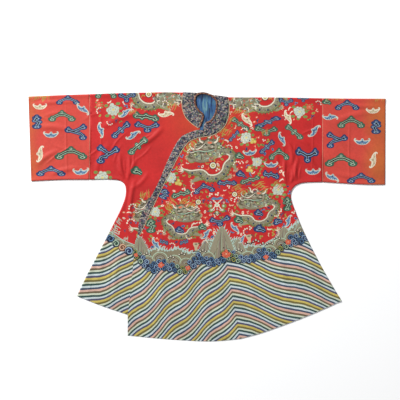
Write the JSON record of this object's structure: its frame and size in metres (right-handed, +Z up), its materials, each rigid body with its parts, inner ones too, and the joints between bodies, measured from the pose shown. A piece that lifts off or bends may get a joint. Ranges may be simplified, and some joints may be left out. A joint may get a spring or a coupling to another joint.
{
  "type": "chinese dragon robe laid flat",
  "caption": "Wide-sleeved silk dragon robe laid flat, with a lapped front, a ring collar, a slanting bordered opening and flared hems.",
  "frame": {"origin": "on the surface that the robe lies on, under the middle of its outline", "axes": "+X along the sleeves towards the wearer's left cuff, +Y up the robe to the shoulder fold, +Z up from the surface through the back, then the fronts"},
  "size_m": [1.606, 1.1206, 0.0114],
  "materials": {
    "robe_silk": "woven red silk with coloured dragons, clouds, bats, peonies and a striped wave border",
    "sleeve_silk": "lighter red silk with coloured clouds and bats, faded to orange at the cuff",
    "collar_brocade": "navy silk with a close grey, pink and green flower pattern",
    "piping_cord": "cream silk cord",
    "neck_binding": "red and gold silk binding",
    "lining_silk": "soft blue silk"
  },
  "bodies": {
    "root": {"back_right": "robe_silk", "back_left": "robe_silk", "front_right": "robe_silk", "front_left": "robe_silk", "front_overlap": "robe_silk", "sleeve_right": "sleeve_silk", "sleeve_left": "sleeve_silk", "collar_back": "collar_brocade", "collar_left": "collar_brocade", "collar_right": "collar_brocade", "opening_band": "collar_brocade", "piping_left": "piping_cord", "piping_right": "piping_cord", "piping_band": "piping_cord", "neck_binding": "neck_binding", "lining": "lining_silk"}
  },
  "joints": []
}
